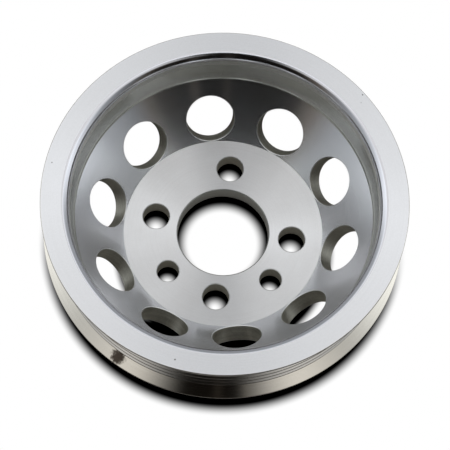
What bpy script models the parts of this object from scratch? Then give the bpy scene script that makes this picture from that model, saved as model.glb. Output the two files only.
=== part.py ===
"""A one-piece multi-rib drive pulley, turned and drilled from aluminium billet.

Units are metres and +Z is up. The origin is on the pulley's axis, in the plane of the hub's back face,
on which the pulley stands. +Z points to the open front side and +X runs through the first bolt hole.
"""

from math import cos, pi, radians, sin, tan

import bmesh
import bpy
from mathutils import Matrix, Vector

# Driving dimensions
RIM_RADIUS = 0.0700
RIM_WIDTH = 0.0285
FRONT_Z = 0.0416
HUB_THICKNESS = 0.0074
BORE_RADIUS = 0.01785

# Belt grooves: the automotive PK section
GROOVES = 7
GROOVE_PITCH = 0.00356
GROOVE_HALF_ANGLE = radians(20)
GROOVE_DEPTH = 0.0027
CREST_WIDTH = 0.0006
CREST_RADIUS = 0.0663

# The bowl inside the rim, and the web that carries the hub
BOWL_MOUTH_RADIUS = 0.05915
BOWL_MOUTH_ROUNDING = 0.0029
BOWL_WALL_TAPER = radians(6)
BOWL_FILLET = 0.0025
HUB_FLOOR_RADIUS = 0.0388
WEB_SLOPE = radians(45)
WEB_THICKNESS = 0.0063
BACK_WALL_RADIUS = 0.0586
BACK_FILLET = 0.0010

# Edges that are broken with a small chamfer
RIM_CHAMFER = 0.00025
BACK_CHAMFER = 0.0008
BORE_CHAMFER = 0.0004

# Holes
WINDOWS = 10
WINDOW_RADIUS = 0.0095
WINDOW_CENTRE_RADIUS = 0.0458
WINDOW_PHASE = radians(30.5)
BOLT_CIRCLE_RADIUS = 0.0270
LARGE_BOLT_RADIUS = 0.0052
LARGE_BOLT_ANGLES = [radians(a) for a in (0, 90, 172, 270)]
SMALL_BOLT_RADIUS = 0.0043
SMALL_BOLT_ANGLES = [radians(a) for a in (223.4, 319.2)]

# Facets
TURNED_STEPS = 64
WINDOW_STEPS = 24
BOLT_STEPS = 16
FRONT_OVERSHOOT = 0.006
BACK_OVERSHOOT = 0.0015

RIM_BACK_Z = FRONT_Z - RIM_WIDTH
RIM_MIDDLE_Z = FRONT_Z - RIM_WIDTH / 2


def new_collection(name):
    """A collection linked to the scene."""
    collection = bpy.data.collections.new(name)
    bpy.context.scene.collection.children.link(collection)
    return collection


def aluminium():
    """Bare turned aluminium."""
    material = bpy.data.materials.new("machined_aluminium")
    material.use_nodes = True
    shader = material.node_tree.nodes["Principled BSDF"]
    shader.inputs["Base Color"].default_value = (0.60, 0.60, 0.61, 1)
    shader.inputs["Metallic"].default_value = 1.0
    shader.inputs["Roughness"].default_value = 0.35
    return material


def corner_arc(before, corner, after, radius, steps):
    """The points of an arc of the given radius that rounds the corner between two straight lines."""
    corner = Vector(corner)
    to_before = (Vector(before) - corner).normalized()
    to_after = (Vector(after) - corner).normalized()
    half_angle = to_before.angle(to_after) / 2
    centre = corner + (to_before + to_after).normalized() * radius / sin(half_angle)
    start = (corner + to_before * radius / tan(half_angle) - centre).normalized()
    end = (corner + to_after * radius / tan(half_angle) - centre).normalized()
    return [centre + start.slerp(end, i / steps) * radius for i in range(steps + 1)]


def crossing(point_a, slope_a, point_b, slope_b):
    """Where two lines meet. Each is a point (r, z) and the angle of its direction."""
    way_a = Vector((cos(slope_a), sin(slope_a)))
    way_b = Vector((cos(slope_b), sin(slope_b)))
    between = Vector(point_b) - Vector(point_a)
    share = between.cross(way_b) / way_a.cross(way_b)
    return Vector(point_a) + way_a * share


def belt_track():
    """The outer side of the rim as (r, z) points, from the front edge to the back edge."""
    lean = tan(GROOVE_HALF_ANGLE)
    root_radius = CREST_RADIUS - GROOVE_DEPTH
    root_half = (GROOVE_PITCH - CREST_WIDTH) / 2 - GROOVE_DEPTH * lean
    mouth_half = (GROOVE_PITCH - CREST_WIDTH) / 2
    flange_half = (GROOVES - 1) / 2 * GROOVE_PITCH + mouth_half + (RIM_RADIUS - CREST_RADIUS) * lean
    points = [(RIM_RADIUS - RIM_CHAMFER, FRONT_Z), (RIM_RADIUS, FRONT_Z - RIM_CHAMFER)]
    points.append((RIM_RADIUS, RIM_MIDDLE_Z + flange_half))
    for i in range(GROOVES):
        z = RIM_MIDDLE_Z + ((GROOVES - 1) / 2 - i) * GROOVE_PITCH
        if i > 0:
            points.append((CREST_RADIUS, z + mouth_half))
        points += [(root_radius, z + root_half), (root_radius, z - root_half)]
        if i < GROOVES - 1:
            points.append((CREST_RADIUS, z - mouth_half))
    points.append((RIM_RADIUS, RIM_MIDDLE_Z - flange_half))
    points += [(RIM_RADIUS, RIM_BACK_Z + RIM_CHAMFER), (RIM_RADIUS - RIM_CHAMFER, RIM_BACK_Z)]
    return points


def back_side():
    """The back of rim, web and hub as (r, z) points, from the rim's back face to the bore."""
    web_down = WEB_SLOPE + pi
    web_back = (
        HUB_FLOOR_RADIUS + WEB_THICKNESS * sin(WEB_SLOPE),
        HUB_THICKNESS - WEB_THICKNESS * cos(WEB_SLOPE),
    )
    wall_foot = (BACK_WALL_RADIUS, RIM_BACK_Z)
    corner = crossing(wall_foot, pi / 2, web_back, web_down)
    hub_edge = crossing(web_back, web_down, (0, 0), 0)
    points = [(BACK_WALL_RADIUS + BACK_CHAMFER, RIM_BACK_Z), (BACK_WALL_RADIUS, RIM_BACK_Z + BACK_CHAMFER)]
    points += corner_arc(wall_foot, corner, hub_edge, BACK_FILLET, 3)
    points += [hub_edge, (BORE_RADIUS + BORE_CHAMFER, 0)]
    return points


def front_side():
    """The bore, hub floor, web and bowl wall as (r, z) points, from the hub's back face to the rim's front."""
    hub_edge = (HUB_FLOOR_RADIUS, HUB_THICKNESS)
    mouth = (BOWL_MOUTH_RADIUS, FRONT_Z - BOWL_MOUTH_ROUNDING)
    face_edge = (BOWL_MOUTH_RADIUS + BOWL_MOUTH_ROUNDING, FRONT_Z)
    wall_down = -pi / 2 - BOWL_WALL_TAPER
    corner = crossing(hub_edge, WEB_SLOPE, mouth, wall_down)
    points = [(BORE_RADIUS, BORE_CHAMFER), (BORE_RADIUS, HUB_THICKNESS - BORE_CHAMFER)]
    points += [(BORE_RADIUS + BORE_CHAMFER, HUB_THICKNESS), hub_edge]
    points += corner_arc(hub_edge, corner, mouth, BOWL_FILLET, 2)
    points += corner_arc(mouth, (BOWL_MOUTH_RADIUS, FRONT_Z), face_edge, BOWL_MOUTH_ROUNDING, 5)
    return points


def turned_blank(collection):
    """The pulley as it leaves the lathe: the closed outline turned round the axis."""
    outline = belt_track() + back_side() + front_side()
    mesh = bpy.data.meshes.new("drive_pulley")
    points = [(r, 0, z) for r, z in outline]
    edges = [(i, (i + 1) % len(points)) for i in range(len(points))]
    mesh.from_pydata(points, edges, [])
    pulley = bpy.data.objects.new("drive_pulley", mesh)
    collection.objects.link(pulley)
    screw = pulley.modifiers.new("turned", "SCREW")
    screw.steps = TURNED_STEPS
    screw.render_steps = TURNED_STEPS
    screw.use_merge_vertices = True
    screw.merge_threshold = 0.00001
    screw.use_normal_calculate = True
    return pulley


def drill(name, radius, steps, depth, place, collection):
    """A cylinder that cuts a hole of that depth. place puts its own origin on the hole's mouth, with -Z going in."""
    mesh = bpy.data.meshes.new(name)
    shape = bmesh.new()
    length = FRONT_OVERSHOOT + depth + BACK_OVERSHOOT
    middle = Matrix.Translation((0, 0, FRONT_OVERSHOOT - length / 2))
    bmesh.ops.create_cone(
        shape, cap_ends=True, segments=steps, radius1=radius, radius2=radius, depth=length, matrix=middle
    )
    shape.to_mesh(mesh)
    shape.free()
    cutter = bpy.data.objects.new(name, mesh)
    cutter.matrix_world = place
    cutter.hide_render = True
    cutter.display_type = "WIRE"
    collection.objects.link(cutter)


def drill_windows(collection):
    """The lightening holes, square to the sloping web and evenly spaced."""
    mouth_z = HUB_THICKNESS + (WINDOW_CENTRE_RADIUS - HUB_FLOOR_RADIUS) * tan(WEB_SLOPE)
    mouth = Matrix.Translation((WINDOW_CENTRE_RADIUS, 0, mouth_z)) @ Matrix.Rotation(-WEB_SLOPE, 4, "Y")
    for i in range(WINDOWS):
        turn = Matrix.Rotation(WINDOW_PHASE + i * 2 * pi / WINDOWS, 4, "Z")
        drill(f"window_cutter_{i}", WINDOW_RADIUS, WINDOW_STEPS, WEB_THICKNESS, turn @ mouth, collection)


def drill_bolt_holes(collection):
    """The bolt holes through the hub, at the angles that let the pulley fit only one way round."""
    mouth = Matrix.Translation((BOLT_CIRCLE_RADIUS, 0, HUB_THICKNESS))
    for radius, angles in ((LARGE_BOLT_RADIUS, LARGE_BOLT_ANGLES), (SMALL_BOLT_RADIUS, SMALL_BOLT_ANGLES)):
        for angle in angles:
            name = f"bolt_cutter_{round(angle * 180 / pi)}"
            turn = Matrix.Rotation(angle, 4, "Z")
            drill(name, radius, BOLT_STEPS, HUB_THICKNESS, turn @ mouth, collection)


def main():
    for thing in list(bpy.data.objects):
        bpy.data.objects.remove(thing)
    cutters = new_collection("cutters")
    drill_windows(cutters)
    drill_bolt_holes(cutters)
    pulley = turned_blank(new_collection("pulley"))
    pulley.data.materials.append(aluminium())
    drilled = pulley.modifiers.new("drilled", "BOOLEAN")
    drilled.operation = "DIFFERENCE"
    drilled.operand_type = "COLLECTION"
    drilled.collection = cutters
    drilled.solver = "EXACT"


main()
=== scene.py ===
"""The finished look of a one-piece multi-rib belt pulley, turned and drilled from aluminium billet.

Everything is in metres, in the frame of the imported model: the origin is on the pulley's axis in the plane
of the hub's back face, +Z points to the open front side and +X runs through the first bolt hole.
"""

import logging
from dataclasses import dataclass, field
from enum import Enum
from math import cos, pi, radians, sin, tan
from typing import Any, Callable, Optional, Union

import bmesh
import bpy
from bpy.types import Material, Mesh, MeshPolygon, Node, NodeSocket, NodeTree, Object
from mathutils import Matrix, Vector


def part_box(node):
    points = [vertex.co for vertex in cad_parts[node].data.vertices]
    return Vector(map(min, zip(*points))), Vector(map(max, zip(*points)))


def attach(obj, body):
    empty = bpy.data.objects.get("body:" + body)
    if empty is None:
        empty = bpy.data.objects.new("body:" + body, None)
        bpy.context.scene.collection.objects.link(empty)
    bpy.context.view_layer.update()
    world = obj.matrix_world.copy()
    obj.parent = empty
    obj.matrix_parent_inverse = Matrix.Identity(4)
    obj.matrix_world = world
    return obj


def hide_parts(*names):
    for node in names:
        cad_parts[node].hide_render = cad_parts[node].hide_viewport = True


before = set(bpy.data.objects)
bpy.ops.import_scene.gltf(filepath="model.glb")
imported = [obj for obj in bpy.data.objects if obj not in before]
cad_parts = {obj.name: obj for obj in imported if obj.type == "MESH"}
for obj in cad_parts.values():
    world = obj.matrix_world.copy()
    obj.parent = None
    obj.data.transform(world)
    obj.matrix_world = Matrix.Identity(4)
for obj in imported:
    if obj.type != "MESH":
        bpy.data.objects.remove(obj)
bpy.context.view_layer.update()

logging.basicConfig(level=logging.INFO, format="%(name)s: %(message)s")
log = logging.getLogger("pulley")

MM = 0.001
WELD = 0.001 * MM
WHITE = (1.0, 1.0, 1.0, 1.0)

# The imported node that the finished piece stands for
NODE = "drive_pulley"

# Names of the mesh's attributes
ALONG = "along"
ZONE = "zone"
STRETCH = "stretch"

# A Mix node's colour sockets and a Compare node's whole-number sockets, which share their names with others
COLOUR_A, COLOUR_B = 6, 7
INT_A, INT_B = 2, 3

# A quarter turn, which lays the sheen across the tool's circles
SHEEN_TURN = 0.25


class Zone(Enum):
    """The differently machined surfaces of the pulley."""

    RIM_FACE = 0
    ROUNDING = 1
    BOWL_WALL = 2
    WEB = 3
    HUB_FLOOR = 4
    BORE = 5
    GROOVES = 6
    FLANGE = 7
    BACK = 8
    DRILLED = 9
    MOUTH = 10
    EDGE = 11


# ---------------------------------------------------------------- small helpers


def linear(hex_colour: str) -> tuple[float, float, float, float]:
    """Turns an sRGB hex colour into linear light.

    Args:
        hex_colour: Six hex digits, with or without a leading #.

    Returns:
        Red, green, blue and an alpha of 1.
    """
    digits = hex_colour.lstrip("#")
    shares = [int(digits[i : i + 2], 16) / 255 for i in (0, 2, 4)]
    light = [s / 12.92 if s <= 0.04045 else ((s + 0.055) / 1.055) ** 2.4 for s in shares]
    return light[0], light[1], light[2], 1.0


def add(tree: NodeTree, kind: str, inputs: Union[dict, tuple] = (), **settings: Any) -> Node:
    """Adds a node with its settings, and links or sets its inputs.

    Args:
        tree: The node tree it goes in.
        kind: The node's type name.
        inputs: What each input gets, by the input's name or number, or in the inputs' order: a value, a
            socket, or a node, whose first output in use is taken.
        settings: The node's own properties.

    Returns:
        The new node.
    """
    node = tree.nodes.new(kind)
    for name, value in settings.items():
        setattr(node, name, value)
    for key, value in inputs.items() if isinstance(inputs, dict) else enumerate(inputs):
        socket = node.inputs[key]
        if isinstance(value, Node):
            value = next(o for o in value.outputs if o.enabled)
        if isinstance(value, NodeSocket):
            tree.links.new(value, socket)
        else:
            socket.default_value = value
    return node


# ---------------------------------------------------------------- finishes


@dataclass(frozen=True)
class Stain:
    """A small patch of brown residue left on the metal.

    edge is where the patch ends, in radii. cover is how much of the metal it hides, and raggedness is how
    many times per metre its edge wavers.
    """

    centre: tuple[float, float, float]
    radius: float
    colour: str
    edge: float = 1.6
    cover: float = 0.85
    roughness: float = 0.6
    raggedness: float = 900.0

    def over(self, tree: NodeTree, place: NodeSocket, colour: Node, roughness: Node) -> tuple[Node, Node]:
        """Lays the patch over a finish.

        Args:
            tree: The finish's node tree.
            place: Object coordinates in metres.
            colour: The finish's colour.
            roughness: The finish's roughness.

        Returns:
            The colour and roughness with the patch on them.
        """
        ragged = add(tree, "ShaderNodeTexNoise", {"Vector": place, "Scale": self.raggedness, "Detail": 3.0})
        away = add(tree, "ShaderNodeVectorMath", (place, self.centre), operation="DISTANCE").outputs["Value"]
        reach = add(tree, "ShaderNodeMath", (ragged, self.radius, away), operation="MULTIPLY_ADD")
        patch = add(tree, "ShaderNodeMapRange",
                    (reach, self.radius * self.edge, self.radius, 0.0, self.cover),
                    interpolation_type="SMOOTHSTEP")
        tinted = add(tree, "ShaderNodeMix",
                     {"Factor": patch, COLOUR_A: colour, COLOUR_B: linear(self.colour)}, data_type="RGBA")
        dull = add(tree, "ShaderNodeMix", {"Factor": patch, "A": roughness, "B": self.roughness},
                   data_type="FLOAT")
        return tinted, dull


@dataclass(frozen=True)
class MachinedAluminium:
    """Bare 6061 aluminium as the cutting tool left it: a light grey metal with fine tool marks.

    spread is how far the roughness varies. ring_share is how much of the tone comes from the tool's rings
    instead of the grain, and smudge is how much comes from the smudges. waver is how many times per metre a
    ring loses its line. pit_edge is where a pit ends and where it is darkest, in spacings.
    """

    name: str
    dark: str
    light: str
    roughness: float
    spread: float
    anisotropy: float
    ring_pitch_mm: float
    ring_height_mm: float
    grain_mm: float
    grain_height_mm: float
    ring_share: float = 0.5
    smudge: float = 0.0
    smudge_mm: float = 16.0
    waver: float = 12.0
    pit_spacing_mm: float = 0.0
    pit_edge: tuple[float, float] = (0.055, 0.03)
    pit_colour: str = "#6A6864"
    stain: Optional[Stain] = None

    def material(self) -> Material:
        """Builds the finish as a procedural material.

        Returns:
            The new material.
        """
        made = bpy.data.materials.new(self.name)
        made.use_nodes = True
        tree = made.node_tree
        tree.nodes.clear()
        place = add(tree, "ShaderNodeTexCoord").outputs["Object"]
        rings = self.rings(tree, place)
        grain, smudges = [
            add(tree, "ShaderNodeTexNoise",
                {"Vector": place, "Scale": 1 / (size * MM), "Detail": detail, "Roughness": 0.55})
            for size, detail in ((self.grain_mm, 2.0), (self.smudge_mm, 3.0))
        ]
        cloud = grain
        for share, other in ((self.ring_share, rings), (self.smudge, smudges)):
            cloud = add(tree, "ShaderNodeMix", {"Factor": share, "A": cloud, "B": other}, data_type="FLOAT")
        colour = add(tree, "ShaderNodeMix",
                     {"Factor": cloud, COLOUR_A: linear(self.dark), COLOUR_B: linear(self.light)},
                     data_type="RGBA")
        if self.pit_spacing_mm:
            colour = self.pitted(tree, place, colour)
        roughness = add(tree, "ShaderNodeMath", (cloud, self.spread, self.roughness - self.spread / 2),
                        operation="MULTIPLY_ADD")
        if self.stain:
            colour, roughness = self.stain.over(tree, place, colour, roughness)
        ring_bump = add(tree, "ShaderNodeBump", {"Height": rings, "Distance": self.ring_height_mm * MM})
        relief = add(tree, "ShaderNodeBump",
                     {"Height": grain, "Distance": self.grain_height_mm * MM, "Normal": ring_bump})
        skin = {"Base Color": colour, "Metallic": 1.0, "Roughness": roughness, "Normal": relief,
                "Anisotropic": self.anisotropy, "Anisotropic Rotation": SHEEN_TURN}
        if self.anisotropy:
            skin["Tangent"] = add(tree, "ShaderNodeTangent", direction_type="RADIAL", axis="Z")
        shader = add(tree, "ShaderNodeBsdfPrincipled", skin)
        add(tree, "ShaderNodeOutputMaterial", {"Surface": shader})
        return made

    def rings(self, tree: NodeTree, place: NodeSocket) -> Node:
        """The tool's feed marks: bands across the cut that hold their line nearly all the way round.

        Args:
            tree: The node tree they go in.
            place: Object coordinates in metres.

        Returns:
            A node whose output is 0 to 1.
        """
        along = add(tree, "ShaderNodeAttribute", attribute_name=ALONG).outputs["Fac"]
        step = add(tree, "ShaderNodeMath", (along, 1 / (self.ring_pitch_mm * MM)), operation="MULTIPLY")
        waver = (self.waver, self.waver, 0.0)
        around = add(tree, "ShaderNodeVectorMath", (place, waver), operation="MULTIPLY")
        x, y, _ = add(tree, "ShaderNodeSeparateXYZ", (around,)).outputs
        where = add(tree, "ShaderNodeCombineXYZ", (step, x, y))
        return add(tree, "ShaderNodeTexNoise",
                   {"Vector": where, "Scale": 1.0, "Detail": 2.0, "Roughness": 0.6})

    def pitted(self, tree: NodeTree, place: NodeSocket, colour: Node) -> Node:
        """Tiny dark pits, far apart.

        Args:
            tree: The node tree they go in.
            place: Object coordinates in metres.
            colour: The finish's colour.

        Returns:
            The colour with the pits in it.
        """
        cells = add(tree, "ShaderNodeTexVoronoi", {"Vector": place, "Scale": 1 / (self.pit_spacing_mm * MM)})
        pit = add(tree, "ShaderNodeMapRange", (cells, *self.pit_edge))
        return add(tree, "ShaderNodeMix",
                   {"Factor": pit, COLOUR_A: colour, COLOUR_B: linear(self.pit_colour)}, data_type="RGBA")


# Faced on the lathe with a fine feed: even light grey with a faint sparkle and a few dark pits.
FACED = MachinedAluminium(
    "faced_6061_aluminium", "#DBDBDC", "#F5F5F7", roughness=0.34, spread=0.10, anisotropy=0.80,
    ring_pitch_mm=0.55, ring_height_mm=0.001, grain_mm=0.45, grain_height_mm=0.005, ring_share=0.35,
    smudge=0.25, pit_spacing_mm=7.0)
# The big rounding at the bowl's mouth, turned with a form tool: close to a mirror.
BURNISHED = MachinedAluminium(
    "burnished_6061_aluminium", "#CFCFD3", "#E0E0E4", roughness=0.14, spread=0.04, anisotropy=0.60,
    ring_pitch_mm=0.35, ring_height_mm=0.0004, grain_mm=0.6, grain_height_mm=0.0003, ring_share=0.8)
# The top of the bowl's wall, where the boring bar chattered most: a light, grainy band.
CHATTERED_MOUTH = MachinedAluminium(
    "chattered_6061_aluminium", "#ADADA5", "#FAF9F4", roughness=0.48, spread=0.60, anisotropy=0.40,
    ring_pitch_mm=0.40, ring_height_mm=0.003, grain_mm=0.80, grain_height_mm=0.020, ring_share=0.15)
# The bowl's steep wall and its foot: dull and grainy, with fine rings.
CHATTERED = MachinedAluminium(
    "bored_6061_aluminium", "#A6A8A1", "#F2F2EC", roughness=0.20, spread=0.40, anisotropy=0.85,
    ring_pitch_mm=0.50, ring_height_mm=0.002, grain_mm=0.80, grain_height_mm=0.004, ring_share=0.30)
# The sloping web, finish-turned: streaks of light and dark fan out from the axis.
FINISH_TURNED = MachinedAluminium(
    "finish_turned_6061_aluminium", "#E4E5E8", "#F6F7FA", roughness=0.17, spread=0.04, anisotropy=0.93,
    ring_pitch_mm=0.45, ring_height_mm=0.0003, grain_mm=0.8, grain_height_mm=0.0003, ring_share=0.7,
    smudge=0.2)
# The hub's mounting face: satin, with faint smudges from handling.
HUB_SATIN = MachinedAluminium(
    "satin_turned_6061_aluminium", "#CFCDCC", "#FFFFFF", roughness=0.40, spread=0.16, anisotropy=0.93,
    ring_pitch_mm=0.50, ring_height_mm=0.001, grain_mm=0.5, grain_height_mm=0.005, ring_share=0.45,
    smudge=0.60)
# The centre bore, bored to size.
BORED = MachinedAluminium(
    "reamed_6061_aluminium", "#B0B1AC", "#DDDFDA", roughness=0.34, spread=0.16, anisotropy=0.30,
    ring_pitch_mm=0.30, ring_height_mm=0.003, grain_mm=0.6, grain_height_mm=0.004, ring_share=0.6)
# The belt grooves, cut with a form tool.
GROOVED = MachinedAluminium(
    "grooved_6061_aluminium", "#C6C2BB", "#DEDBD5", roughness=0.14, spread=0.04, anisotropy=0.40,
    ring_pitch_mm=0.30, ring_height_mm=0.0002, grain_mm=0.5, grain_height_mm=0.0003, ring_share=0.6)
# The flanges beside the belt, with a patch of residue on the lower one.
FLANGED = MachinedAluminium(
    "flange_turned_6061_aluminium", "#D8D1C4", "#F2EDE2", roughness=0.10, spread=0.04, anisotropy=0.50,
    ring_pitch_mm=0.40, ring_height_mm=0.0002, grain_mm=0.5, grain_height_mm=0.0003, ring_share=0.6,
    stain=Stain((-34.3 * MM, -58.0 * MM, 14.9 * MM), 3.2 * MM, "#54412F"))
# The back side, rough-turned with a coarser feed.
BACK_TURNED = MachinedAluminium(
    "rough_turned_6061_aluminium", "#B4B6B8", "#D6D8DA", roughness=0.30, spread=0.12, anisotropy=0.60,
    ring_pitch_mm=0.70, ring_height_mm=0.003, grain_mm=0.6, grain_height_mm=0.003, ring_share=0.6,
    smudge=0.3)
# The drilled holes: darker walls with rings from the cutter.
DRILLED = MachinedAluminium(
    "drilled_6061_aluminium", "#8C8A7C", "#F0EEE2", roughness=0.42, spread=0.50, anisotropy=0.0,
    ring_pitch_mm=0.45, ring_height_mm=0.012, grain_mm=0.7, grain_height_mm=0.010, ring_share=0.55)
# Edges broken with a scraper: thin bright lines.
BROKEN_EDGE = MachinedAluminium(
    "scraped_6061_aluminium", "#E0E0DE", "#F6F6F4", roughness=0.45, spread=0.10, anisotropy=0.0,
    ring_pitch_mm=0.30, ring_height_mm=0.001, grain_mm=0.4, grain_height_mm=0.004)

FINISHES = {
    Zone.RIM_FACE: FACED,
    Zone.ROUNDING: BURNISHED,
    Zone.BOWL_WALL: CHATTERED,
    Zone.WEB: FINISH_TURNED,
    Zone.HUB_FLOOR: HUB_SATIN,
    Zone.BORE: BORED,
    Zone.GROOVES: GROOVED,
    Zone.FLANGE: FLANGED,
    Zone.BACK: BACK_TURNED,
    Zone.DRILLED: DRILLED,
    Zone.MOUTH: CHATTERED_MOUTH,
    Zone.EDGE: BROKEN_EDGE,
}


# ---------------------------------------------------------------- outline


@dataclass(frozen=True)
class Corner:
    """A corner of the outline, in the half plane of radius and height.

    rounding is the radius that the corner is rounded to, in that many steps, and after is the surface that
    follows it. arc is the surface of the rounding itself, where it isn't the one that follows.
    """

    r: float
    z: float
    after: Zone
    rounding: float = 0.0
    steps: int = 3
    arc: Optional[Zone] = None


@dataclass
class Stretch:
    """A straight line or an arc of the outline. centre is what an arc's normals come from."""

    zone: Zone
    centre: Optional[Vector] = None


@dataclass
class Outline:
    """The closed outline that is turned round the axis: points, and the stretch that leaves each of them."""

    points: list[Vector] = field(default_factory=list)
    stretch_of: list[int] = field(default_factory=list)
    stretches: list[Stretch] = field(default_factory=list)

    @classmethod
    def of(cls, corners: list[Corner]) -> "Outline":
        """Rounds a closed run of corners.

        Args:
            corners: The corners in order.

        Returns:
            The outline.
        """
        made = cls()
        for i, corner in enumerate(corners):
            before, after = corners[i - 1], corners[(i + 1) % len(corners)]
            if corner.rounding:
                made.round_off(before, corner, after)
            else:
                made.points.append(Vector((corner.r, corner.z)))
                made.stretch_of.append(len(made.stretches))
            made.stretches.append(Stretch(corner.after))
            made.stretch_of[-1] = len(made.stretches) - 1
        return made

    def round_off(self, before: Corner, corner: Corner, after: Corner) -> None:
        """Adds the arc that rounds a corner.

        Args:
            before: The corner that comes before it.
            corner: The corner to round.
            after: The corner that follows it.
        """
        tip = Vector((corner.r, corner.z))
        back = (Vector((before.r, before.z)) - tip).normalized()
        on = (Vector((after.r, after.z)) - tip).normalized()
        half = back.angle(on) / 2
        centre = tip + (back + on).normalized() * corner.rounding / sin(half)
        start = (tip + back * corner.rounding / tan(half) - centre).normalized()
        end = (tip + on * corner.rounding / tan(half) - centre).normalized()
        self.stretches.append(Stretch(corner.arc or corner.after, centre))
        for i in range(corner.steps + 1):
            self.points.append(centre + start.slerp(end, i / corner.steps) * corner.rounding)
            self.stretch_of.append(len(self.stretches) - 1)

    def lengths(self) -> list[float]:
        """The distance along the outline at each point.

        Returns:
            One distance for each point.
        """
        run = [0.0]
        for a, b in zip(self.points, self.points[1:]):
            run.append(run[-1] + (b - a).length)
        return run

    def guide(self, name: str) -> Object:
        """The outline as an object that a Geometry Nodes tree reads, with what each edge needs on its point.

        Args:
            name: The object's name.

        Returns:
            An object outside the scene's collections.
        """
        mesh = bpy.data.meshes.new(name)
        mesh.from_pydata([(p.x, 0, p.y) for p in self.points], [], [])
        zones = [self.stretches[s].zone.value for s in self.stretch_of]
        for label, values in ((ZONE, zones), (STRETCH, self.stretch_of)):
            mesh.attributes.new(label, "INT", "POINT").data.foreach_set("value", values)
        return bpy.data.objects.new(name, mesh)


@dataclass
class BeltTrack:
    """The belt side of the rim: seven V grooves of the automotive PK section between two plain lands."""

    rim_radius: float
    front_z: float
    rim_width: float = 28.5 * MM
    grooves: int = 7
    pitch: float = 3.56 * MM
    half_angle: float = radians(20)
    depth: float = 2.7 * MM
    crest_width: float = 0.6 * MM
    crest_radius: float = 66.3 * MM
    edge_break: float = 0.25 * MM
    root_rounding: float = 0.22 * MM
    crest_rounding: float = 0.12 * MM

    @property
    def back_z(self) -> float:
        """The height of the rim's back face."""
        return self.front_z - self.rim_width

    def corners(self) -> list[Corner]:
        """The outer side of the rim, from the front edge to the back edge.

        Returns:
            Its corners in order.
        """
        lean = tan(self.half_angle)
        middle = self.front_z - self.rim_width / 2
        mouth = (self.pitch - self.crest_width) / 2
        root = mouth - self.depth * lean
        flange = (self.grooves - 1) / 2 * self.pitch + mouth + (self.rim_radius - self.crest_radius) * lean
        run = [Corner(self.rim_radius, self.front_z, Zone.GROOVES, self.edge_break, steps=4)]
        run.append(Corner(self.rim_radius, middle + flange, Zone.GROOVES, self.crest_rounding))
        for i in range(self.grooves):
            z = middle + ((self.grooves - 1) / 2 - i) * self.pitch
            last = i == self.grooves - 1
            if i:
                run.append(Corner(self.crest_radius, z + mouth, Zone.GROOVES, self.crest_rounding))
            below = Zone.FLANGE if last else Zone.GROOVES
            run.append(Corner(self.crest_radius - self.depth, z + root, Zone.GROOVES, self.root_rounding))
            run.append(Corner(self.crest_radius - self.depth, z - root, below, self.root_rounding))
            if not last:
                run.append(Corner(self.crest_radius, z - mouth, Zone.GROOVES, self.crest_rounding))
        run.append(Corner(self.rim_radius, middle - flange, Zone.FLANGE, self.crest_rounding))
        run.append(Corner(self.rim_radius, self.back_z, Zone.BACK, self.edge_break, steps=4))
        return run


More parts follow.
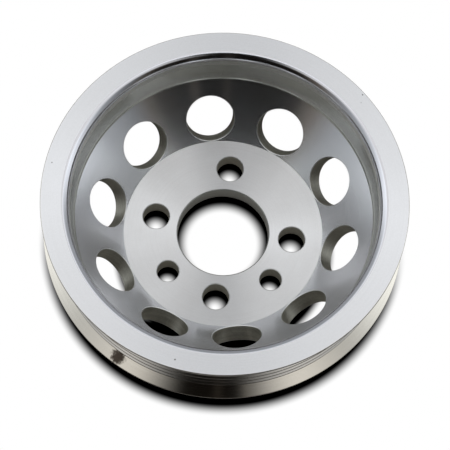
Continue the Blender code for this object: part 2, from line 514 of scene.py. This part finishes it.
@dataclass
class WebAndHub:
    """The flat hub, the sloping web and the bowl's wall, on both sides."""

    front_z: float
    rim_back_z: float
    hub_thickness: float = 7.4 * MM
    bore_radius: float = 17.85 * MM
    bore_chamfer: float = 0.4 * MM
    mouth_radius: float = 59.15 * MM
    mouth_rounding: float = 2.9 * MM
    mouth_band: float = 2.6 * MM
    wall_taper: float = radians(6)
    bowl_fillet: float = 2.5 * MM
    floor_radius: float = 38.8 * MM
    slope: float = radians(45)
    thickness: float = 6.3 * MM
    back_wall_radius: float = 58.6 * MM
    back_chamfer: float = 0.8 * MM
    back_fillet: float = 1.0 * MM
    floor_fillet: float = 0.5 * MM
    edge_rounding: float = 0.15 * MM

    @staticmethod
    def crossing(a: tuple[float, float], way_a: float, b: tuple[float, float], way_b: float) -> Vector:
        """Where two lines meet.

        Args:
            a: A point on the first line, as radius and height.
            way_a: The angle of the first line.
            b: A point on the second line.
            way_b: The angle of the second line.

        Returns:
            The point where they meet.
        """
        along_a = Vector((cos(way_a), sin(way_a)))
        along_b = Vector((cos(way_b), sin(way_b)))
        share = (Vector(b) - Vector(a)).cross(along_b) / along_a.cross(along_b)
        return Vector(a) + along_a * share

    @property
    def web_back(self) -> tuple[float, float]:
        """A point on the back of the web, as radius and height."""
        return (self.floor_radius + self.thickness * sin(self.slope),
                self.hub_thickness - self.thickness * cos(self.slope))

    @property
    def hub_edge(self) -> Vector:
        """The outer edge of the hub's back face, as radius and height."""
        return self.crossing(self.web_back, self.slope, (0, 0), 0)

    def back_corners(self) -> list[Corner]:
        """The back of rim, web and hub, from the rim's back face to the bore.

        Returns:
            Its corners in order.
        """
        foot = self.crossing((self.back_wall_radius, 0), pi / 2, self.web_back, self.slope)
        hub = self.hub_edge
        small = self.edge_rounding
        return [
            Corner(self.back_wall_radius + self.back_chamfer, self.rim_back_z, Zone.BACK, small),
            Corner(self.back_wall_radius, self.rim_back_z + self.back_chamfer, Zone.BACK, small),
            Corner(foot.x, foot.y, Zone.BACK, self.back_fillet, steps=6),
            Corner(hub.x, hub.y, Zone.BACK, small),
            Corner(self.bore_radius + self.bore_chamfer, 0, Zone.BORE, small / 2),
            Corner(self.bore_radius, self.bore_chamfer, Zone.BORE, small / 2),
        ]

    def front_corners(self) -> list[Corner]:
        """The front of hub, web and bowl wall, from the bore to the rim's face.

        Returns:
            Its corners in order.
        """
        mouth = (self.mouth_radius, self.front_z - self.mouth_rounding)
        corner = self.crossing((self.floor_radius, self.hub_thickness), self.slope, mouth,
                               -pi / 2 - self.wall_taper)
        band = (mouth[0] - self.mouth_band * tan(self.wall_taper), mouth[1] - self.mouth_band)
        small = self.edge_rounding
        return [
            Corner(self.bore_radius, self.hub_thickness - self.bore_chamfer, Zone.BORE, small / 2),
            Corner(self.bore_radius + self.bore_chamfer, self.hub_thickness, Zone.HUB_FLOOR, small / 2),
            Corner(self.floor_radius, self.hub_thickness, Zone.WEB, self.floor_fillet, steps=5,
                   arc=Zone.EDGE),
            Corner(corner.x, corner.y, Zone.BOWL_WALL, self.bowl_fillet, steps=10),
            Corner(*band, Zone.MOUTH),
            Corner(*mouth, Zone.ROUNDING),
            Corner(self.mouth_radius, self.front_z, Zone.RIM_FACE, self.mouth_rounding, steps=16,
                   arc=Zone.ROUNDING),
        ]


# ---------------------------------------------------------------- holes


@dataclass
class Drill:
    """A cutter for one round hole whose both edges are broken.

    Its own origin is on the hole's mouth and -Z goes in. A lift raises an edge where the surface that it
    breaks is curved, as a function of the two offsets across the hole.
    """

    radius: float
    depth: float
    steps: int
    edge_break: float
    place: Matrix
    front_overshoot: float = 6 * MM
    back_overshoot: float = 1.5 * MM
    front_lift: Callable[[float, float], float] = lambda u, v: 0.0
    back_lift: Callable[[float, float], float] = lambda u, v: 0.0

    def rings(self) -> list[tuple[float, float, Callable[[float, float], float]]]:
        """The cutter's rings from the front end to the back end, as radius, height and lift."""
        front, back, edge = self.front_overshoot, self.back_overshoot, self.edge_break
        return [
            (self.radius + edge + 0.5 * front, 0.5 * front, self.front_lift),
            (self.radius, -edge, self.front_lift),
            (self.radius, -self.depth + edge, self.back_lift),
            (self.radius + edge + back, -self.depth - back, self.back_lift),
        ]

    def guide(self, name: str) -> Object:
        """The cutter as an object that a Geometry Nodes tree reads.

        Args:
            name: The object's name.

        Returns:
            An object outside the scene's collections.
        """
        shape = bmesh.new()
        loops = []
        for radius, z, lift in self.rings():
            loop = []
            for i in range(self.steps):
                u = radius * cos(2 * pi * i / self.steps)
                v = radius * sin(2 * pi * i / self.steps)
                loop.append(shape.verts.new((u, v, z + lift(u, v))))
            loops.append(loop)
        for upper, lower in zip(loops, loops[1:]):
            for i in range(self.steps):
                k = (i + 1) % self.steps
                shape.faces.new((upper[i], lower[i], lower[k], upper[k]))
        shape.faces.new(loops[0])
        shape.faces.new(loops[-1][::-1])
        shape.transform(self.place)
        mesh = bpy.data.meshes.new(name)
        shape.to_mesh(mesh)
        shape.free()
        edge, wall, ends = [Zone.EDGE] * self.steps, [Zone.DRILLED] * self.steps, [Zone.DRILLED] * 2
        zones = [zone.value for zone in edge + wall + edge + ends]
        mesh.attributes.new(ZONE, "INT", "FACE").data.foreach_set("value", zones)
        mesh.attributes.new(STRETCH, "INT", "FACE").data.foreach_set("value", [-1] * len(zones))
        return bpy.data.objects.new(name, mesh)


@dataclass
class Holes:
    """A set of equal holes: the cutter for the first, and the angles that it is repeated at."""

    name: str
    drill: Drill
    angles: list[float]

    def pattern(self) -> Object:
        """The angles as points that a Geometry Nodes tree puts a cutter on.

        Returns:
            An object outside the scene's collections.
        """
        mesh = bpy.data.meshes.new(f"{self.name}_pattern")
        mesh.from_pydata([(0, 0, 0)] * len(self.angles), [], [])
        mesh.attributes.new("turn", "FLOAT", "POINT").data.foreach_set("value", self.angles)
        return bpy.data.objects.new(f"{self.name}_pattern", mesh)

    def axes(self) -> list[Matrix]:
        """Each hole's own frame: its origin on the hole's mouth, and -Z going in."""
        return [Matrix.Rotation(angle, 4, "Z") @ self.drill.place for angle in self.angles]


@dataclass
class Drilling:
    """The ten lightening windows in the web, and the six bolt holes in the hub, at angles in degrees."""

    shell: WebAndHub
    windows: int = 10
    window_radius: float = 9.5 * MM
    window_centre: float = 45.8 * MM
    window_phase: float = radians(30.5)
    window_break: float = 0.22 * MM
    window_steps: int = 72
    bolt_circle: float = 27.0 * MM
    large_radius: float = 5.2 * MM
    large_angles: tuple[float, ...] = (0, 90, 172, 270)
    small_radius: float = 4.3 * MM
    small_angles: tuple[float, ...] = (223.4, 319.2)
    bolt_break: float = 0.28 * MM
    bolt_steps: int = 48

    def sets(self) -> list[Holes]:
        """The three sets of holes, the windows first.

        Returns:
            The sets.
        """
        turns = [self.window_phase + i * 2 * pi / self.windows for i in range(self.windows)]
        made = [Holes("windows", self.window_drill(), turns)]
        for name, radius, angles in (("large_bolts", self.large_radius, self.large_angles),
                                     ("small_bolts", self.small_radius, self.small_angles)):
            made.append(Holes(name, self.bolt_drill(radius), [radians(a) for a in angles]))
        return made

    def window_drill(self) -> Drill:
        """The cutter for a window, square to the web. Its edge breaks follow the web's cones.

        Returns:
            The cutter.
        """
        slope = self.shell.slope
        mouth_z = self.shell.hub_thickness + (self.window_centre - self.shell.floor_radius) * tan(slope)
        place = Matrix.Translation((self.window_centre, 0, mouth_z)) @ Matrix.Rotation(-slope, 4, "Y")
        back_centre = self.window_centre + self.shell.thickness * sin(slope)

        def front(u: float, v: float) -> float:
            """The height of the web's front cone over its tangent plane."""
            return v * v * sin(slope) / (2 * (self.window_centre + u * cos(slope)))

        def back(u: float, v: float) -> float:
            """The height of the web's back cone over its tangent plane."""
            return v * v * sin(slope) / (2 * (back_centre + u * cos(slope)))

        return Drill(self.window_radius, self.shell.thickness, self.window_steps, self.window_break, place,
                     front_lift=front, back_lift=back)

    def bolt_drill(self, radius: float) -> Drill:
        """The cutter for a bolt hole through the hub."""
        place = Matrix.Translation((self.bolt_circle, 0, self.shell.hub_thickness))
        return Drill(radius, self.shell.hub_thickness, self.bolt_steps, self.bolt_break, place)


# ---------------------------------------------------------------- the pulley


class MachiningTree:
    """The Geometry Nodes tree that turns the outline, drills it, and dresses each surface."""

    def __init__(self, outline: Outline, hole_sets: list[Holes], materials: dict[Zone, Material]):
        """Builds the tree.

        Args:
            outline: The outline to turn.
            hole_sets: The holes to drill.
            materials: The finish of each surface.
        """
        self.outline = outline
        self.hole_sets = hole_sets
        self.tree = bpy.data.node_groups.new("turn_and_drill", "GeometryNodeTree")
        self.identifiers: dict[str, str] = {}
        for name, kind in [("Outline", "NodeSocketObject"), ("Turned Steps", "NodeSocketInt")]:
            self.declare(name, kind)
        for holes in hole_sets:
            self.declare(f"{holes.name} cutter", "NodeSocketObject")
            self.declare(f"{holes.name} pattern", "NodeSocketObject")
        self.tree.interface.new_socket("Geometry", in_out="OUTPUT", socket_type="NodeSocketGeometry")
        self.inputs = add(self.tree, "NodeGroupInput")
        blank = self.turned()
        cutters = [self.drilled(holes) for holes in hole_sets]
        self.finish(self.cut(blank, cutters), materials)

    def declare(self, name: str, kind: str) -> None:
        """Adds a named input to the tree and keeps its identifier."""
        socket = self.tree.interface.new_socket(name, in_out="INPUT", socket_type=kind)
        self.identifiers[name] = socket.identifier

    def turned(self) -> NodeSocket:
        """A grid wrapped onto the turned shape: one way runs along the outline, the other round the axis.

        Returns:
            The closed blank, with each face's zone and stretch of the outline.
        """
        t = self.tree
        count = len(self.outline.points)
        steps = self.inputs.outputs["Turned Steps"]
        across = add(t, "ShaderNodeMath", (steps, 1.0), operation="ADD")
        grid = add(t, "GeometryNodeMeshGrid", {"Vertices X": count + 1, "Vertices Y": across})
        guide = add(t, "GeometryNodeObjectInfo", {"Object": self.inputs.outputs["Outline"]})
        shape = guide.outputs["Geometry"]
        index = add(t, "GeometryNodeInputIndex")
        row = add(t, "ShaderNodeMath", (index, across), operation="DIVIDE")
        row = add(t, "ShaderNodeMath", (row,), operation="FLOOR")
        row = add(t, "ShaderNodeMath", (row, float(count)), operation="MODULO")
        column = add(t, "ShaderNodeMath", (index, across), operation="MODULO")
        one_step = add(t, "ShaderNodeMath", (2 * pi, steps), operation="DIVIDE")
        angle = add(t, "ShaderNodeMath", (column, one_step), operation="MULTIPLY")
        place = add(t, "GeometryNodeInputPosition")
        spot = add(t, "GeometryNodeSampleIndex", {"Geometry": shape, "Value": place, "Index": row},
                   data_type="FLOAT_VECTOR", domain="POINT")
        turned = add(t, "ShaderNodeVectorRotate", {"Vector": spot, "Angle": angle}, rotation_type="Z_AXIS")
        made = add(t, "GeometryNodeSetPosition", {"Geometry": grid, "Position": turned})
        face_row = add(t, "ShaderNodeMath", (index, steps), operation="DIVIDE")
        face_row = add(t, "ShaderNodeMath", (face_row,), operation="FLOOR")
        for label in (ZONE, STRETCH):
            value = add(t, "GeometryNodeInputNamedAttribute", {"Name": label}, data_type="INT")
            sampled = add(t, "GeometryNodeSampleIndex",
                          {"Geometry": shape, "Value": value, "Index": face_row},
                          data_type="INT", domain="POINT")
            made = add(t, "GeometryNodeStoreNamedAttribute",
                       {"Geometry": made, "Name": label, "Value": sampled}, data_type="INT", domain="FACE")
        welded = add(t, "GeometryNodeMergeByDistance", {"Geometry": made, "Distance": WELD})
        return welded.outputs[0]

    def drilled(self, holes: Holes) -> NodeSocket:
        """The cutters of one set of holes, one on each point of its pattern.

        Args:
            holes: The set of holes.

        Returns:
            The cutters as one mesh.
        """
        t = self.tree
        cutter = add(t, "GeometryNodeObjectInfo", {"Object": self.inputs.outputs[f"{holes.name} cutter"]})
        pattern = add(t, "GeometryNodeObjectInfo", {"Object": self.inputs.outputs[f"{holes.name} pattern"]})
        turn = add(t, "GeometryNodeInputNamedAttribute", {"Name": "turn"}, data_type="FLOAT")
        about = add(t, "ShaderNodeCombineXYZ", {"Z": turn})
        placed = add(t, "GeometryNodeInstanceOnPoints",
                     {"Points": pattern.outputs["Geometry"], "Instance": cutter.outputs["Geometry"],
                      "Rotation": about})
        return add(t, "GeometryNodeRealizeInstances", {"Geometry": placed}).outputs[0]

    def cut(self, blank: NodeSocket, cutters: list[NodeSocket]) -> NodeSocket:
        """Cuts the holes out of the blank.

        Args:
            blank: The turned blank.
            cutters: The cutters of each set of holes.

        Returns:
            The drilled shape.
        """
        boolean = add(self.tree, "GeometryNodeMeshBoolean", operation="DIFFERENCE", solver="EXACT")
        self.tree.links.new(blank, boolean.inputs["Mesh 1"])
        for cutter in cutters:
            self.tree.links.new(cutter, boolean.inputs["Mesh 2"])
        return boolean.outputs["Mesh"]

    def finish(self, shape: NodeSocket, materials: dict[Zone, Material]) -> None:
        """Ends the tree: real geometry, with each zone in its own material.

        Args:
            shape: The drilled shape.
            materials: The finish of each surface.
        """
        t = self.tree
        made = add(t, "GeometryNodeRealizeInstances", {"Geometry": shape})
        zone = add(t, "GeometryNodeInputNamedAttribute", {"Name": ZONE}, data_type="INT")
        for key, material in materials.items():
            chosen = add(t, "FunctionNodeCompare", {INT_A: zone, INT_B: key.value}, data_type="INT",
                         operation="EQUAL")
            made = add(t, "GeometryNodeSetMaterial",
                       {"Geometry": made, "Selection": chosen, "Material": material})
        add(t, "NodeGroupOutput", {"Geometry": made})

    def run(self, name: str, turned_steps: int) -> Object:
        """Runs the tree and keeps what it makes.

        Args:
            name: The piece's name.
            turned_steps: How many steps go round the axis.

        Returns:
            The piece as a plain mesh, with no modifier on it.
        """
        piece = bpy.data.objects.new(name, bpy.data.meshes.new(name))
        bpy.context.scene.collection.objects.link(piece)
        guides = [self.outline.guide("outline_guide")]
        modifier = piece.modifiers.new("machining", "NODES")
        modifier.node_group = self.tree
        modifier[self.identifiers["Outline"]] = guides[0]
        modifier[self.identifiers["Turned Steps"]] = turned_steps
        for holes in self.hole_sets:
            guides += [holes.drill.guide(f"{holes.name}_cutter"), holes.pattern()]
            modifier[self.identifiers[f"{holes.name} cutter"]] = guides[-2]
            modifier[self.identifiers[f"{holes.name} pattern"]] = guides[-1]
        graph = bpy.context.evaluated_depsgraph_get()
        made = bpy.data.meshes.new_from_object(piece.evaluated_get(graph), depsgraph=graph)
        piece.modifiers.remove(modifier)
        piece.data = made
        for guide in guides:
            bpy.data.objects.remove(guide)
        return piece


class SurfaceReader:
    """Gives the machined mesh its exact normals, and the distance along the cut at each corner."""

    def __init__(self, outline: Outline, hole_sets: list[Holes]):
        """Keeps the outline and the frame of every hole.

        Args:
            outline: The outline that was turned.
            hole_sets: The holes that were drilled.
        """
        self.outline = outline
        self.starts = self.outline.lengths()
        self.first = {}
        for i, stretch in enumerate(outline.stretch_of):
            self.first.setdefault(stretch, i)
        self.holes = [(frame_of, frame_of.inverted()) for holes in hole_sets for frame_of in holes.axes()]

    def dress(self, mesh: Mesh) -> None:
        """Sets the mesh's custom normals and its distance attribute.

        Args:
            mesh: The machined mesh.
        """
        stretch = [0] * len(mesh.polygons)
        mesh.attributes[STRETCH].data.foreach_get("value", stretch)
        normals = [Vector((0, 0, 1))] * len(mesh.loops)
        along = [0.0] * len(mesh.loops)
        for face in mesh.polygons:
            kind = stretch[face.index]
            read = self.drilled(face) if kind < 0 else self.turned(face, kind)
            for loop in face.loop_indices:
                spot = mesh.vertices[mesh.loops[loop].vertex_index].co
                normals[loop], along[loop] = read(spot)
        mesh.attributes.new(ALONG, "FLOAT", "CORNER").data.foreach_set("value", along)
        mesh.shade_smooth()
        mesh.normals_split_custom_set(normals)

    def turned(self, face: MeshPolygon, kind: int) -> Callable[[Vector], tuple[Vector, float]]:
        """How to read a turned face.

        Args:
            face: The face.
            kind: Its stretch of the outline.

        Returns:
            A function from a corner's place to its normal and its distance along the outline.
        """
        stretch = self.outline.stretches[kind]
        first = self.outline.points[self.first[kind]]
        start = self.starts[self.first[kind]]
        middle = face.center
        about = Vector((middle.x, middle.y)).normalized()
        flat = Vector((face.normal.x, face.normal.y)).dot(about)

        def read(spot: Vector) -> tuple[Vector, float]:
            """Reads a corner of the face.

            Args:
                spot: The corner's place.

            Returns:
                Its exact normal, and its distance along the outline.
            """
            out = Vector((spot.x, spot.y))
            here = Vector((out.length, spot.z))
            across, up = flat, face.normal.z
            if stretch.centre:
                way = here - stretch.centre
                way = way if way.x * flat + way.y * up > 0 else -way
                across, up = way.x, way.y
            out.normalize()
            return Vector((out.x * across, out.y * across, up)).normalized(), start + (here - first).length

        return read

    def drilled(self, face: MeshPolygon) -> Callable[[Vector], tuple[Vector, float]]:
        """How to read a face of a hole's wall.

        Args:
            face: The face.

        Returns:
            A function from a corner's place to its normal and its depth in the hole.
        """
        place, back = min(self.holes, key=lambda pair: (pair[1] @ face.center).xy.length)
        middle = back @ face.center
        way = back.to_3x3() @ face.normal
        inward = way.xy.dot(middle.xy.normalized())

        def read(spot: Vector) -> tuple[Vector, float]:
            """Reads a corner of the face.

            Args:
                spot: The corner's place.

            Returns:
                Its exact normal, and its depth in the hole.
            """
            here = back @ spot
            out = here.xy.normalized()
            return (place.to_3x3() @ Vector((out.x * inward, out.y * inward, way.z))).normalized(), -here.z

        return read


class Pulley:
    """The whole pulley, which is one piece of metal."""

    def __init__(self, name: str = "turned_pulley", turned_steps: int = 288):
        """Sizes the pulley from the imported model's box.

        Args:
            name: The piece's name.
            turned_steps: How many steps go round the axis.
        """
        self.name = name
        self.turned_steps = turned_steps
        low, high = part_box(NODE)
        self.track = BeltTrack(rim_radius=(high.x - low.x) / 2, front_z=high.z)
        self.shell = WebAndHub(front_z=high.z, rim_back_z=self.track.back_z)
        self.hole_sets = Drilling(self.shell).sets()

    def build(self) -> Object:
        """Turns, drills and dresses the pulley.

        Returns:
            The finished piece.
        """
        outline = Outline.of(self.track.corners() + self.shell.back_corners() + self.shell.front_corners())
        materials = {zone: finish.material() for zone, finish in FINISHES.items()}
        piece = MachiningTree(outline, self.hole_sets, materials).run(self.name, self.turned_steps)
        SurfaceReader(outline, self.hole_sets).dress(piece.data)
        log.info("%s: %d faces", piece.name, len(piece.data.polygons))
        return piece

    def hub_holes(self) -> list[tuple[float, float, float]]:
        """The bore and the bolt holes that reach the table, each as its place and radius.

        Returns:
            The holes.
        """
        found = [(0.0, 0.0, self.shell.bore_radius)]
        for holes in self.hole_sets[1:]:
            found += [(*axis.translation.xy, holes.drill.radius) for axis in holes.axes()]
        return found


# ---------------------------------------------------------------- the studio


@dataclass
class CameraSpot:
    """Where the camera stands: a long lens high over the near side, rolled a little."""

    aim: tuple[float, float, float] = (0.7 * MM, -2.2 * MM, 20.8 * MM)
    azimuth: float = radians(2.67)
    elevation: float = radians(68.519)
    roll: float = radians(3.549)
    distance: float = 938.9 * MM
    focal_length_mm: float = 194.52
    film_width_mm: float = 36.0
    near_clip: float = 0.05
    far_clip: float = 20.0

    def build(self) -> None:
        """Makes the camera and hands it to the scene."""
        away = Vector((sin(self.azimuth) * cos(self.elevation), -cos(self.azimuth) * cos(self.elevation),
                       sin(self.elevation)))
        data = bpy.data.cameras.new("camera")
        data.lens = self.focal_length_mm
        data.sensor_width = self.film_width_mm
        data.clip_start = self.near_clip
        data.clip_end = self.far_clip
        camera = bpy.data.objects.new("camera", data)
        bpy.context.scene.collection.objects.link(camera)
        turned = (-away).to_track_quat("-Z", "Y").to_matrix().to_4x4() @ Matrix.Rotation(self.roll, 4, "Z")
        camera.matrix_world = Matrix.Translation(Vector(self.aim) + away * self.distance) @ turned
        bpy.context.scene.camera = camera


@dataclass
class Studio:
    """A table in a white tent, with the tent's dark opening on the camera's side.

    To the camera the table is a lit white ground, as on a catalogue page, with the pulley's soft shadow
    drawn on it, and the tent is plain white. The metal sees the table as dark felt and the tent by its own
    light. A pair of numbers that shapes a shadow or the tent says where it is 0 and where it is 1: radii or
    heights on the table, and parts of the direction X, Y or Z in the tent. tent_light lists the tent's
    brightness by its direction in degrees, 0 on the near side and positive to the right.
    """

    holes: list[tuple[float, float, float]]
    hub_radius: float
    table_radius: float = 3.0
    table_sides: int = 128
    table_gap: float = 0.4 * MM
    felt: str = "#6A6865"
    lamp_watts: float = 12.0
    lamp_size: float = 0.8
    lamp_place: tuple[float, float, float] = (0.0, 0.12, 1.2)
    hole_shift: float = 2.0 * MM
    hole_softness: float = 5.0 * MM
    foot_shadow: tuple[float, float] = (4.2 * MM, 0.6 * MM)
    foot_centre: tuple[float, float] = (0.8 * MM, -4.6 * MM)
    rim_shadow: tuple[float, float] = (59 * MM, 65 * MM)
    outer_shadow: tuple[float, float] = (73 * MM, 68 * MM)
    rim_shadow_y: tuple[float, float] = (12 * MM, -20 * MM)
    near_shadow_y: tuple[float, float] = (-29 * MM, -38 * MM)
    overhead: float = 0.94
    roof_x: tuple[float, float] = (0.10, 0.40)
    roof_y: tuple[float, float] = (0.03, 0.26)
    roof_z: tuple[float, float] = (0.80, 0.92)
    low_back: float = 0.30
    back_y: tuple[float, float] = (0.2, 0.6)
    back_z: tuple[float, float] = (0.90, 0.70)
    side_coolness: float = 0.04
    front_coolness: float = -0.15
    front_half_width: float = 55
    tent_light: tuple[tuple[float, float], ...] = (
        (-180, 1.25), (-120, 1.50), (-98, 1.00), (-79, 0.56), (-62, 0.34), (-46, 0.12), (-40, 0.07),
        (-35, 0.016), (-28, 0.006), (2, 0.004), (5.5, 0.024), (9, 0.004), (20, 0.005), (24, 0.042),
        (28, 0.006), (44, 0.020), (52, 0.080), (61, 0.18), (79, 0.40), (95, 0.90), (120, 1.50), (180, 1.25))

    def build(self) -> None:
        """Makes the table, the tent's light and the lamp."""
        shape = bmesh.new()
        bmesh.ops.create_circle(shape, cap_ends=True, segments=self.table_sides, radius=self.table_radius)
        bmesh.ops.translate(shape, verts=shape.verts, vec=(0, 0, -self.table_gap))
        mesh = bpy.data.meshes.new("table")
        shape.to_mesh(mesh)
        shape.free()
        table = bpy.data.objects.new("table", mesh)
        bpy.context.scene.collection.objects.link(table)
        table.data.materials.append(self.ground())
        self.lamp(table)
        self.tent()

    def ground(self) -> Material:
        """Dark felt that the camera sees as a lit white ground with the pulley's shadow drawn on it.

        Returns:
            The new material.
        """
        material = bpy.data.materials.new("lit_white_ground")
        material.use_nodes = True
        t = material.node_tree
        t.nodes.clear()
        place = add(t, "ShaderNodeTexCoord").outputs["Object"]
        flat = add(t, "ShaderNodeVectorMath", (place, (1.0, 1.0, 0.0)), operation="MULTIPLY")
        near = add(t, "ShaderNodeSeparateXYZ", (place,)).outputs["Y"]
        away = add(t, "ShaderNodeVectorMath", (flat,), operation="LENGTH").outputs["Value"]
        # Painted shadow on the table: a ring under the rim on the near side, a band further in on the near
        # side, and the hub's foot, all inside the rim's edge.
        shade, beside, nearest, inside = self.rises(t, [
            (away, self.rim_shadow), (near, self.rim_shadow_y), (near, self.near_shadow_y),
            (away, self.outer_shadow)])
        foot = self.around(t, flat, self.foot_centre, *(self.hub_radius + edge for edge in self.foot_shadow))
        for other, step in ((beside, "MULTIPLY"), (nearest, "MAXIMUM"), (foot, "MAXIMUM"),
                            (inside, "MULTIPLY")):
            shade = add(t, "ShaderNodeMath", (shade, other), operation=step)
        lit = add(t, "ShaderNodeMath", (1.0, shade), operation="SUBTRACT")
        # The bore and bolt holes show the white ground, shifted to the near side, which leaves a painted
        # shadow along each hole's far edge.
        for x, y, hole in self.holes:
            spot = self.around(t, flat, (x, y - self.hole_shift), hole, max(hole - self.hole_softness, 0))
            lit = add(t, "ShaderNodeMath", (lit, spot), operation="MAXIMUM")
        glow = add(t, "ShaderNodeEmission", {"Color": WHITE, "Strength": lit})
        felt = add(t, "ShaderNodeBsdfDiffuse", {"Color": linear(self.felt)})
        seen = add(t, "ShaderNodeLightPath").outputs["Is Camera Ray"]
        add(t, "ShaderNodeOutputMaterial", {"Surface": add(t, "ShaderNodeMixShader", (seen, felt, glow))})
        return material

    def around(self, tree: NodeTree, flat: Node, centre: tuple[float, float], start: float,
               end: float) -> Node:
        """A soft round edge on the table: 0 at the start radius and 1 at the end radius.

        Args:
            tree: The node tree it goes in.
            flat: The place on the table.
            centre: The middle of the round edge.
            start: The radius at which it is 0.
            end: The radius at which it is 1.

        Returns:
            A node whose output is 0 to 1.
        """
        away = add(tree, "ShaderNodeVectorMath", (flat, (*centre, 0.0)), operation="DISTANCE")
        return self.rises(tree, [(away.outputs["Value"], (start, end))])[0]

    def lamp(self, table: Object) -> None:
        """A wide lamp high over the pulley that lights only the table.

        Args:
            table: The table.
        """
        data = bpy.data.lights.new("table_lamp", "AREA")
        data.shape = "DISK"
        data.size = self.lamp_size
        data.energy = self.lamp_watts
        lamp = bpy.data.objects.new("table_lamp", data)
        place = Vector(self.lamp_place)
        lamp.matrix_world = Matrix.Translation(place) @ place.to_track_quat("Z", "Y").to_matrix().to_4x4()
        lamp.visible_camera = False
        bpy.context.scene.collection.objects.link(lamp)
        lit = bpy.data.collections.new("lit_by_table_lamp")
        lit.objects.link(table)
        lamp.light_linking.receiver_collection = lit

    def tent(self) -> None:
        """The light of the tent by direction: bright sides, a soft roof and back, and the dark opening."""
        world = bpy.data.worlds.new("white_tent")
        bpy.context.scene.world = world
        world.use_nodes = True
        t = world.node_tree
        t.nodes.clear()
        way = add(t, "ShaderNodeTexCoord").outputs["Generated"]
        x, y, z = add(t, "ShaderNodeSeparateXYZ", (way,)).outputs
        front = add(t, "ShaderNodeMath", (y, -1.0), operation="MULTIPLY")
        swing = add(t, "ShaderNodeMath", (x, front), operation="ARCTAN2")
        share = add(t, "ShaderNodeMath", (swing, 1 / (2 * pi), 0.5), operation="MULTIPLY_ADD")
        around = add(t, "ShaderNodeValToRGB", (share,))
        ramp = around.color_ramp
        while len(ramp.elements) < len(self.tent_light):
            ramp.elements.new(0.5)
        for element, (direction, level) in zip(ramp.elements, self.tent_light):
            cool = self.side_coolness if abs(direction) > self.front_half_width else self.front_coolness
            element.position = direction / 360 + 0.5
            element.color = (level * (1 - cool), level, level * (1 + cool), 1)
        aside = add(t, "ShaderNodeMath", (x,), operation="ABSOLUTE")
        behind, low, over, back, high = self.rises(t, [
            (y, self.back_y), (z, self.back_z), (aside, self.roof_x), (y, self.roof_y), (z, self.roof_z)])
        low_back = add(t, "ShaderNodeMath", (behind, low), operation="MULTIPLY")
        shade = add(t, "ShaderNodeMath", (low_back, self.low_back - 1.0, 1.0), operation="MULTIPLY_ADD")
        dimmed = add(t, "ShaderNodeVectorMath", {0: around, "Scale": shade}, operation="SCALE")
        over = add(t, "ShaderNodeMath", (over, back), operation="MAXIMUM")
        roof = add(t, "ShaderNodeMath", (high, over), operation="MULTIPLY")
        ceiling = (self.overhead, self.overhead, self.overhead, 1)
        light = add(t, "ShaderNodeMix", {"Factor": roof, COLOUR_A: dimmed, COLOUR_B: ceiling},
                    data_type="RGBA")
        seen = add(t, "ShaderNodeLightPath").outputs["Is Camera Ray"]
        shown = add(t, "ShaderNodeMix", {"Factor": seen, COLOUR_A: light, COLOUR_B: WHITE}, data_type="RGBA")
        glow = add(t, "ShaderNodeBackground", {"Color": shown, "Strength": 1.0})
        add(t, "ShaderNodeOutputWorld", {"Surface": glow})

    @staticmethod
    def rises(tree: NodeTree, spans: list[tuple[Any, tuple[float, float]]]) -> list[Node]:
        """Smooth rises from 0 to 1, each given as a node or socket and where it is 0 and 1."""
        return [add(tree, "ShaderNodeMapRange", (value, *ends), interpolation_type="SMOOTHSTEP")
                for value, ends in spans]


def main() -> None:
    """Builds the pulley and the studio."""
    bpy.context.scene.view_settings.view_transform = "Standard"
    pulley = Pulley()
    piece = pulley.build()
    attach(piece, "root")
    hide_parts(NODE)
    log.info("%s stands for %s", piece.name, NODE)
    Studio(pulley.hub_holes(), pulley.shell.hub_edge.x).build()
    CameraSpot().build()
    log.info("table, tent and camera are in place")


if __name__ == "__main__":
    main()
